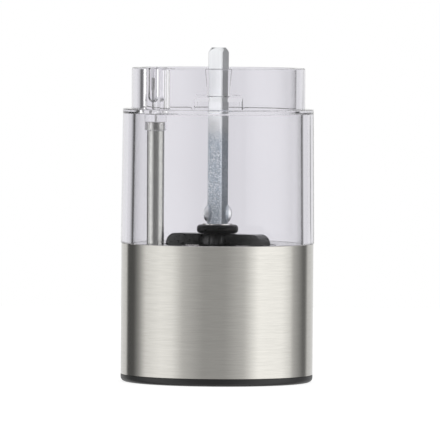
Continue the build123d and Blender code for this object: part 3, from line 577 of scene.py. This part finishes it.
@dataclass(frozen=True)
class MouldedPlastic(Finish):
    """Coloured moulded plastic with a fine grain; a gloss_reach above 0 polishes it near the axis."""

    grain_scale: float = 2600.0
    depth: float = 0.00002
    pale_share: float = 1.35
    polish_swing: float = 0.2
    shine: float = 0.5
    gloss_reach: float = 0.0
    gloss_edge: float = 1.05
    gloss_fade: Span = (0.0412, 0.0424)
    gloss_roughness: float = 0.06
    gloss_index: float = 1.65

    def shade(self, board: Board, shader: Node) -> None:
        """Adds the grain and a slow change of tone and gloss.

        Args:
            board: the material's board.
            shader: its Principled node.
        """
        grain = Effect.GRAIN.place(board, self.grain_scale).outputs
        board.fill(shader, {
            "Specular IOR Level": self.shine,
            "Base Color": board.blend(grain["Mask"], self.colour, scaled(self.colour, self.pale_share)),
            "Roughness": board.swing(grain["Mask"], self.roughness, self.polish_swing),
        })
        self.bump(board, shader, grain["Height"], self.depth)
        if self.gloss_reach:
            self.polish(board, shader)

    def polish(self, board: Board, shader: Node) -> None:
        """Adds a hard gloss near the middle axis, up to a height.

        Args:
            board: the material's board.
            shader: its Principled node.
        """
        place = board.add("ShaderNodeTexCoord").outputs["Object"]
        near = board.falling(board.axis_reach(place), (self.gloss_reach, self.gloss_reach * self.gloss_edge))
        low = board.falling(board.height(place), self.gloss_fade)
        board.fill(shader, {
            "Coat Weight": board.math("MULTIPLY", near, low),
            "Coat Roughness": self.gloss_roughness,
            "Coat IOR": self.gloss_index,
        })


@dataclass(frozen=True)
class Ceramic(Finish):
    """White sintered ceramic."""

    cloud_scale: float = 260.0
    grain_scale: float = 4200.0
    dull_share: float = 0.93
    polish_swing: float = 0.15
    depth: float = 0.000012
    glow_weight: float = 0.15
    glow_depth: float = 0.0006

    def shade(self, board: Board, shader: Node) -> None:
        """Adds a fine grain, faint clouds and a little depth.

        Args:
            board: the material's board.
            shader: its Principled node.
        """
        cloud = Effect.MOTTLE.place(board, self.cloud_scale).outputs["Mask"]
        grain = Effect.GRAIN.place(board, self.grain_scale).outputs["Height"]
        board.fill(shader, {
            "Base Color": board.blend(cloud, scaled(self.colour, self.dull_share), self.colour),
            "Roughness": board.swing(cloud, self.roughness, self.polish_swing),
            "Subsurface Weight": self.glow_weight,
            "Subsurface Scale": self.glow_depth,
        })
        self.bump(board, shader, grain, self.depth)


CLEAR_BODY = ClearPlastic("clear_acrylic", (0.958, 0.955, 0.964, 1.0), 0.010)
CLEAR_LENS = ClearPlastic("frosted_window", (0.92, 0.92, 0.92, 1.0), 0.22)
SLEEVE_STEEL = BrushedSteel("brushed_sleeve", (0.602, 0.588, 0.550, 1.0), 0.18)
TUBE_STEEL = BrushedSteel("lead_tube_steel", (0.40, 0.40, 0.385, 1.0), 0.14, scale=(420.0, 420.0, 1500.0),
                          contrast=0.12)
BAR_STEEL = PlatedSteel("plated_bar", grey(0.95, -0.015), 0.30)
BRIGHT_STEEL = TurnedMetal("bright_steel", grey(0.68, 0.01), 0.22)
PIN_STEEL = TurnedMetal("pin_steel", grey(0.34, 0.01), 0.30)
NUT_BRASS = TurnedMetal("nut_brass", (0.72, 0.52, 0.22, 1.0), 0.28)
BASE_BLACK = MouldedPlastic("base_black", grey(0.013), 0.40)
BRIDGE_BLACK = MouldedPlastic("bridge_black", grey(0.0012, -0.06), 0.12, grain_scale=3400.0, depth=0.000001,
                              shine=0.08, gloss_reach=0.0047)
BUSH_BLACK = MouldedPlastic("bush_black", grey(0.0025, -0.06), 0.32, grain_scale=3400.0, depth=0.000004,
                            shine=0.2)
LEAD_GREY = MouldedPlastic("lead_sheath", grey(0.30), 0.55, grain_scale=5200.0, depth=0.000006)
BURR_WHITE = Ceramic("burr_ceramic", (0.86, 0.84, 0.80, 1.0), 0.38)
LAMP_WHITE = Ceramic("lamp_resin", (0.88, 0.88, 0.84, 1.0), 0.18)


def link(name: str, mesh: bmesh.types.BMesh, finish: Finish) -> bpy.types.Object:
    """Turns a finished bmesh into an object in the scene.

    Args:
        name: the piece's name.
        mesh: the bmesh, which is freed.
        finish: the piece's finish.

    Returns:
        The new object, at the origin.
    """
    bmesh.ops.remove_doubles(mesh, verts=mesh.verts, dist=MERGE)
    bmesh.ops.recalc_face_normals(mesh, faces=mesh.faces)
    data = bpy.data.meshes.new(name)
    mesh.to_mesh(data)
    mesh.free()
    data.shade_smooth()
    data.set_sharp_from_angle(angle=SHARP_ANGLE)
    piece = bpy.data.objects.new(name, data)
    bpy.context.scene.collection.objects.link(piece)
    data.materials.append(finish.material())
    return piece


def dress(finish: Finish, *nodes: str) -> None:
    """Gives CAD nodes their finish.

    Args:
        finish: what they get.
        nodes: the nodes' names.
    """
    for node in nodes:
        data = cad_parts[node].data
        data.materials.clear()
        data.materials.append(finish.material())
        log.info("%s dressed in %s", node, finish.name)


@dataclass
class Hopper:
    """Clear hopper and its funnel."""

    body: Finish = CLEAR_BODY

    def dress(self) -> None:
        """Gives both clear pieces their finish."""
        dress(self.body, "hopper", "funnel")


@dataclass
class Shell:
    """Steel sleeve and black base with its screws."""

    screw_count: int = 3
    screw_azimuth: float = 275.0
    screw_radius: float = 0.0204
    screw_turn: float = 0.4
    head_radius: float = 0.0026
    head_low: float = 0.0010
    head_thick: float = 0.0013
    head_round: float = 0.0005
    round_share: float = 0.29
    round_steps: int = 40
    shank_radius: float = 0.00125
    shank_top: float = 0.0160
    slot_width: float = 0.0007
    slot_reach: float = 0.0015
    slot_depth: float = 0.0009
    slot_taper: float = 0.72

    def blank(self) -> bmesh.types.BMesh:
        """One screw on the axis, head down, with a plain head.

        Returns:
            The screw's bmesh.
        """
        mesh = bmesh.new()
        low, high = self.head_low, self.head_low + self.head_thick
        inner, cut = self.head_radius - self.head_round, self.round_share * self.head_round
        outline = ((0.0, low), (inner, low), (self.head_radius - cut, low + cut),
                   (self.head_radius, low + self.head_round), (self.head_radius, high),
                   (self.shank_radius, high), (self.shank_radius, self.shank_top), (0.0, self.shank_top))
        points = [mesh.verts.new((r, 0.0, z)) for r, z in outline]
        edges = [mesh.edges.new(pair) for pair in zip(points, points[1:])]
        bmesh.ops.spin(mesh, geom=points + edges, cent=CENTRE, axis=UP, angle=math.tau,
                       steps=self.round_steps, use_merge=True)
        bmesh.ops.remove_doubles(mesh, verts=mesh.verts, dist=TOUCH)
        bmesh.ops.recalc_face_normals(mesh, faces=mesh.faces)
        bmesh.ops.dissolve_faces(mesh, faces=self.flat_faces(mesh))
        return mesh

    def flat_faces(self, mesh: bmesh.types.BMesh) -> list[bmesh.types.BMFace]:
        """Finds the faces on the flat of the screw's head."""
        return [f for f in mesh.faces if f.calc_center_median().z < self.head_low + TOUCH]

    def on_cross(self, face: bmesh.types.BMFace) -> bool:
        """Tells whether a face of the flat belongs to the cross.

        Args:
            face: the face.

        Returns:
            True on the two arms.
        """
        across, along = sorted(abs(part) for part in face.calc_center_median().xy)
        return across < self.slot_width / 2 and along <= self.slot_reach

    def recess(self, mesh: bmesh.types.BMesh) -> None:
        """Presses a tapered cross into the screw's head.

        Args:
            mesh: the screw.
        """
        half = self.slot_width / 2
        for normal in (Vector((1, 0, 0)), Vector((0, 1, 0))):
            for place in (-half, half, -self.slot_reach, self.slot_reach):
                flat = self.flat_faces(mesh)
                geometry = set(flat)
                for face in flat:
                    geometry.update(face.edges)
                    geometry.update(face.verts)
                bmesh.ops.bisect_plane(mesh, geom=list(geometry), plane_co=normal * place, plane_no=normal,
                                       dist=CUT)
        arms = [face for face in self.flat_faces(mesh) if self.on_cross(face)]
        pressed = bmesh.ops.extrude_face_region(mesh, geom=arms)["geom"]
        floor = [v for v in pressed if isinstance(v, bmesh.types.BMVert)]
        bmesh.ops.delete(mesh, geom=arms, context="FACES")
        bmesh.ops.scale(mesh, vec=(self.slot_taper, self.slot_taper, 1.0), verts=floor)
        bmesh.ops.translate(mesh, vec=(0, 0, self.slot_depth), verts=floor)

    def screws(self) -> bpy.types.Object:
        """The three base screws as one piece.

        Returns:
            The piece, riding on the unit.
        """
        pattern = self.blank()
        self.recess(pattern)
        one = bpy.data.meshes.new("screw_once")
        pattern.to_mesh(one)
        pattern.free()
        whole = bmesh.new()
        for index in range(self.screw_count):
            angle = math.radians(self.screw_azimuth + index * 360.0 / self.screw_count)
            before = len(whole.verts)
            whole.from_mesh(one)
            whole.verts.ensure_lookup_table()
            turned = Matrix.Rotation(angle + self.screw_turn * index, 4, "Z")
            centre = (self.screw_radius * math.cos(angle), self.screw_radius * math.sin(angle), 0)
            bmesh.ops.transform(whole, matrix=Matrix.Translation(centre) @ turned, verts=whole.verts[before:])
        bpy.data.meshes.remove(one)
        piece = link("base_screw_heads", whole, BRIGHT_STEEL)
        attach(piece, "unit")
        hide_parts("base_screws")
        return piece

    def dress(self) -> None:
        """Gives the sleeve and the base their finishes, and adds the screws."""
        dress(SLEEVE_STEEL, "steel_sleeve")
        dress(BASE_BLACK, "base")
        log.info("%s built", self.screws().name)


@dataclass
class Grinder:
    """Housing, burrs, bridge, spring and the small pieces between them."""

    wire_radius: float = 0.00045
    wire_sides: int = 12
    coil_radius: float = 0.00405
    coil_steps: int = 40
    spring_low: float = 0.0213
    spring_high: float = 0.03555
    dead_turn: float = 0.9
    dead_pitch: float = 2.1
    live_turns: float = 4.6
    lift: float = 0.00105

    def spring(self) -> bpy.types.Object:
        """The spring: closed end turns and open turns between them, in one wire.

        Returns:
            The piece, riding on the drive.
        """
        mesh = bmesh.new()
        ring = bmesh.ops.create_circle(mesh, radius=self.wire_radius, segments=self.wire_sides)["verts"]
        start = Matrix.Translation((self.coil_radius, 0, self.spring_low + self.wire_radius))
        upright = start @ Matrix.Rotation(math.pi / 2, 4, "X")
        bmesh.ops.transform(mesh, matrix=upright, verts=ring)
        first = mesh.faces.new(ring)
        length = self.spring_high - self.spring_low
        dead_rise = self.dead_pitch * self.wire_radius * self.dead_turn
        live_rise = length - 2 * self.wire_radius - 2 * dead_rise
        dead = (self.dead_turn, dead_rise)
        geometry = [first, *first.edges, *first.verts]
        for turns, rise in (dead, (self.live_turns, live_rise), dead):
            steps = round(turns * self.coil_steps)
            made = bmesh.ops.spin(mesh, geom=geometry, cent=CENTRE, axis=UP, angle=math.tau * turns,
                                  steps=steps, dvec=(0, 0, rise / steps))
            geometry = made["geom_last"]
        piece = link("wound_spring", mesh, BRIGHT_STEEL)
        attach(piece, "drive")
        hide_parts("grinder_spring")
        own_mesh(piece)
        return piece

    def dress(self) -> None:
        """Gives the pieces their finishes, and winds the spring."""
        dress(BASE_BLACK, "grinder_housing")
        dress(BUSH_BLACK, "thrust_bush")
        dress(BRIDGE_BLACK, "bridge", "rotor_driver", "spring_seat")
        dress(BURR_WHITE, "fixed_burr", "rotor_burr")
        dress(BRIGHT_STEEL, "ear_washer", "spring_washer", "bridge_screws")
        log.info("%s built", self.spring().name)


@dataclass
class Drive:
    """Square bar with its ears, and the knob and nut below."""

    def dress(self) -> None:
        """Gives the bar, the knob and the nut their finishes."""
        dress(BAR_STEEL, "drive_shaft")
        dress(BASE_BLACK, "adjusting_knob")
        dress(NUT_BRASS, "knob_nut")


@dataclass
class LampLine:
    """Contact plug and pins, lead tube and leads, lamp and its window."""

    def dress(self) -> None:
        """Gives the pieces their finishes."""
        dress(CLEAR_BODY, "contact_plug")
        dress(PIN_STEEL, "contact_pins")
        dress(TUBE_STEEL, "lead_tube")
        dress(LEAD_GREY, "lamp_leads")
        dress(LAMP_WHITE, "lamp")
        dress(CLEAR_LENS, "lamp_lens")


@dataclass
class Studio:
    """Floor, surrounding light and camera.

    Stops along the surroundings run from 0 behind the unit by one quarter on the left, one half in front and
    three quarters on the right to 1 behind it.
    """

    eye: Triple = (0.0007, -2.0, 0.118)
    aim: Triple = (0.0007, 0.0, 0.0471)
    frame_width: float = 0.1283
    sensor_width: float = 36.0
    far_clip: float = 20.0
    roll: float = 0.4
    floor_radius: float = 0.45
    floor_sides: int = 96
    floor_drop: float = 0.00005
    floor_grey: float = 0.32
    floor_glow: float = 0.85
    path_turns: int = 24
    surround: Stops = (
        (0.00, 0.85), (0.11, 0.80), (0.123, 0.09), (0.17, 0.11), (0.20, 0.38), (0.235, 1.00),
        (0.30, 1.24), (0.345, 1.16), (0.385, 0.70), (0.455, 0.45), (0.525, 0.45), (0.59, 0.70),
        (0.642, 1.42), (0.735, 1.36), (0.775, 1.00), (0.79, 0.62), (0.85, 0.18), (0.87, 0.18),
        (0.89, 0.74), (1.00, 0.85),
    )
    upper_span: Span = (0.50, 0.62)
    upper_gloom: float = 0.20
    upper_clear: float = 0.70
    overhead_span: Span = (0.74, 0.82)
    overhead: float = 1.0
    backdrop: Colour = (0.772, 0.764, 0.802, 1.0)
    backdrop_reach: Stops = (
        (0.00, 1.00), (0.090, 1.00), (0.104, 0.80), (0.112, 0.45), (0.120, 0.00),
        (0.874, 0.00), (0.881, 0.50), (0.887, 1.00), (1.00, 1.00),
    )
    steep_span: Span = (0.12, 0.25)
    straight_below: float = 1.5
    side_gap: Stops = ((0.00, 0.0), (0.145, 0.0), (0.175, 1.0), (0.825, 1.0), (0.855, 0.0), (1.00, 0.0))
    gap_level: float = 0.06
    inner_gain: Stops = (
        (0.00, 1.2), (0.26, 1.2), (0.31, 1.6), (0.39, 1.6),
        (0.44, 0.5), (0.56, 0.5), (0.61, 1.2), (1.00, 1.2),
    )

    def camera(self) -> bpy.types.Object:
        """The camera at the photograph's angle.

        Returns:
            The camera object.
        """
        data = bpy.data.cameras.new("camera")
        eye, aim = Vector(self.eye), Vector(self.aim)
        data.sensor_fit = "HORIZONTAL"
        data.sensor_width = self.sensor_width
        data.lens = data.sensor_width * (aim - eye).length / self.frame_width
        data.clip_end = self.far_clip
        piece = bpy.data.objects.new("camera", data)
        bpy.context.scene.collection.objects.link(piece)
        look = (aim - eye).to_track_quat("-Z", "Y").to_matrix().to_4x4()
        piece.matrix_world = Matrix.Translation(eye) @ look @ Matrix.Rotation(math.radians(self.roll), 4, "Z")
        bpy.context.scene.camera = piece
        return piece

    def floor(self) -> bpy.types.Object:
        """A pale round floor that keeps the shadow.

        Returns:
            The floor.
        """
        mesh = bmesh.new()
        bmesh.ops.create_circle(mesh, cap_ends=True, radius=self.floor_radius, segments=self.floor_sides)
        bmesh.ops.translate(mesh, vec=(0, 0, -self.floor_drop), verts=mesh.verts)
        data = bpy.data.meshes.new("floor")
        mesh.to_mesh(data)
        mesh.free()
        piece = bpy.data.objects.new("floor", data)
        bpy.context.scene.collection.objects.link(piece)
        data.materials.append(self.floor_material())
        return piece

    def floor_material(self) -> bpy.types.Material:
        """Pale paint that is white to the camera and through the clear parts, and that gloss looks past.

        Returns:
            The floor's material.
        """
        material = bpy.data.materials.new("pale_floor")
        material.use_nodes = True
        material.node_tree.nodes.clear()
        board = Board(material.node_tree)
        path = board.add("ShaderNodeLightPath").outputs
        seen = board.math("ADD", path["Is Camera Ray"], path["Is Transmission Ray"], clamp=True)
        paint = board.add("ShaderNodeBsdfDiffuse", {"Color": grey(self.floor_grey)})
        glow = board.add("ShaderNodeEmission", {"Color": grey(1.0),
                                                "Strength": board.math("MULTIPLY", seen, self.floor_glow)})
        both = board.add("ShaderNodeAddShader", {0: paint.outputs[0], 1: glow.outputs[0]})
        clear = board.add("ShaderNodeBsdfTransparent")
        kept = board.add("ShaderNodeMixShader", {0: path["Is Glossy Ray"], 1: both.outputs[0],
                                                 2: clear.outputs[0]})
        board.add("ShaderNodeOutputMaterial", {"Surface": kept.outputs[0]})
        return material

    def side(self, board: Board, way: Socket) -> Socket:
        """Finds which side a direction points to.

        Args:
            board: the board to work on.
            way: the direction.

        Returns:
            0 and 1 behind the unit, one quarter left, one half in front, three quarters right.
        """
        parts = board.add("ShaderNodeSeparateXYZ", {"Vector": way})
        back = board.math("MULTIPLY", parts.outputs["Y"], -1.0)
        turn = board.math("ARCTAN2", parts.outputs["X"], back)
        return board.math("MULTIPLY_ADD", turn, 1.0 / math.tau, 0.5)

    def panels(self, board: Board, side: Socket, height: Socket, clear: Socket) -> Socket:
        """Bright panels left and right, dimmer in front, dark gaps between, and a lamp overhead.

        Args:
            board: the world's board.
            side: which side the direction points to.
            height: how far it points up.
            clear: 1 for light that comes through the clear parts.

        Returns:
            The light from that direction.
        """
        upper = board.blend(clear, grey(self.upper_gloom), grey(self.upper_clear))
        lower = board.blend(board.rising(height, self.upper_span), board.ramp(side, self.surround), upper)
        return board.blend(board.rising(height, self.overhead_span), lower, grey(self.overhead))

    def world(self) -> None:
        """Soft light all round, a pale backdrop behind the clear parts, and white for the camera."""
        world = bpy.data.worlds.new("studio")
        bpy.context.scene.world = world
        world.use_nodes = True
        world.node_tree.nodes.clear()
        board = Board(world.node_tree)
        way = board.add("ShaderNodeTexCoord").outputs["Generated"]
        path = board.add("ShaderNodeLightPath").outputs
        clear = path["Is Transmission Ray"]
        side, height = self.side(board, way), board.height(way)
        panels = self.panels(board, side, height, clear)
        bends = board.math("SUBTRACT", path["Ray Depth"], path["Transmission Depth"])
        straight = board.math("MULTIPLY", board.math("LESS_THAN", bends, self.straight_below), clear)
        steep = board.rising(board.math("ABSOLUTE", height), self.steep_span)
        reach = board.math("MAXIMUM", board.ramp(side, self.backdrop_reach), steep)
        inner = board.vector("MULTIPLY", panels, board.ramp(side, self.inner_gain)).outputs[0]
        around = board.blend(board.ramp(side, self.side_gap), grey(self.gap_level), inner)
        through = board.blend(board.math("MAXIMUM", reach, straight), around, self.backdrop)
        light = board.blend(clear, panels, through)
        light = board.blend(path["Is Camera Ray"], light, grey(1.0))
        shade = board.add("ShaderNodeBackground", {"Color": light, "Strength": 1.0})
        board.add("ShaderNodeOutputWorld", {"Surface": shade.outputs[0]})

    def light_paths(self) -> None:
        """Lets light turn often enough inside the thick clear walls."""
        paths = bpy.context.scene.cycles
        paths.max_bounces = self.path_turns
        paths.glossy_bounces = self.path_turns
        paths.transmission_bounces = self.path_turns

    def build(self) -> None:
        """Sets up the whole studio."""
        bpy.context.scene.view_settings.view_transform = "Standard"
        self.light_paths()
        self.camera()
        self.floor()
        self.world()


def main() -> None:
    """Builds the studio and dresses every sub-assembly."""
    Studio().build()
    for assembly in (Hopper(), Shell(), Grinder(), Drive(), LampLine()):
        assembly.dress()


if __name__ == "__main__":
    main()
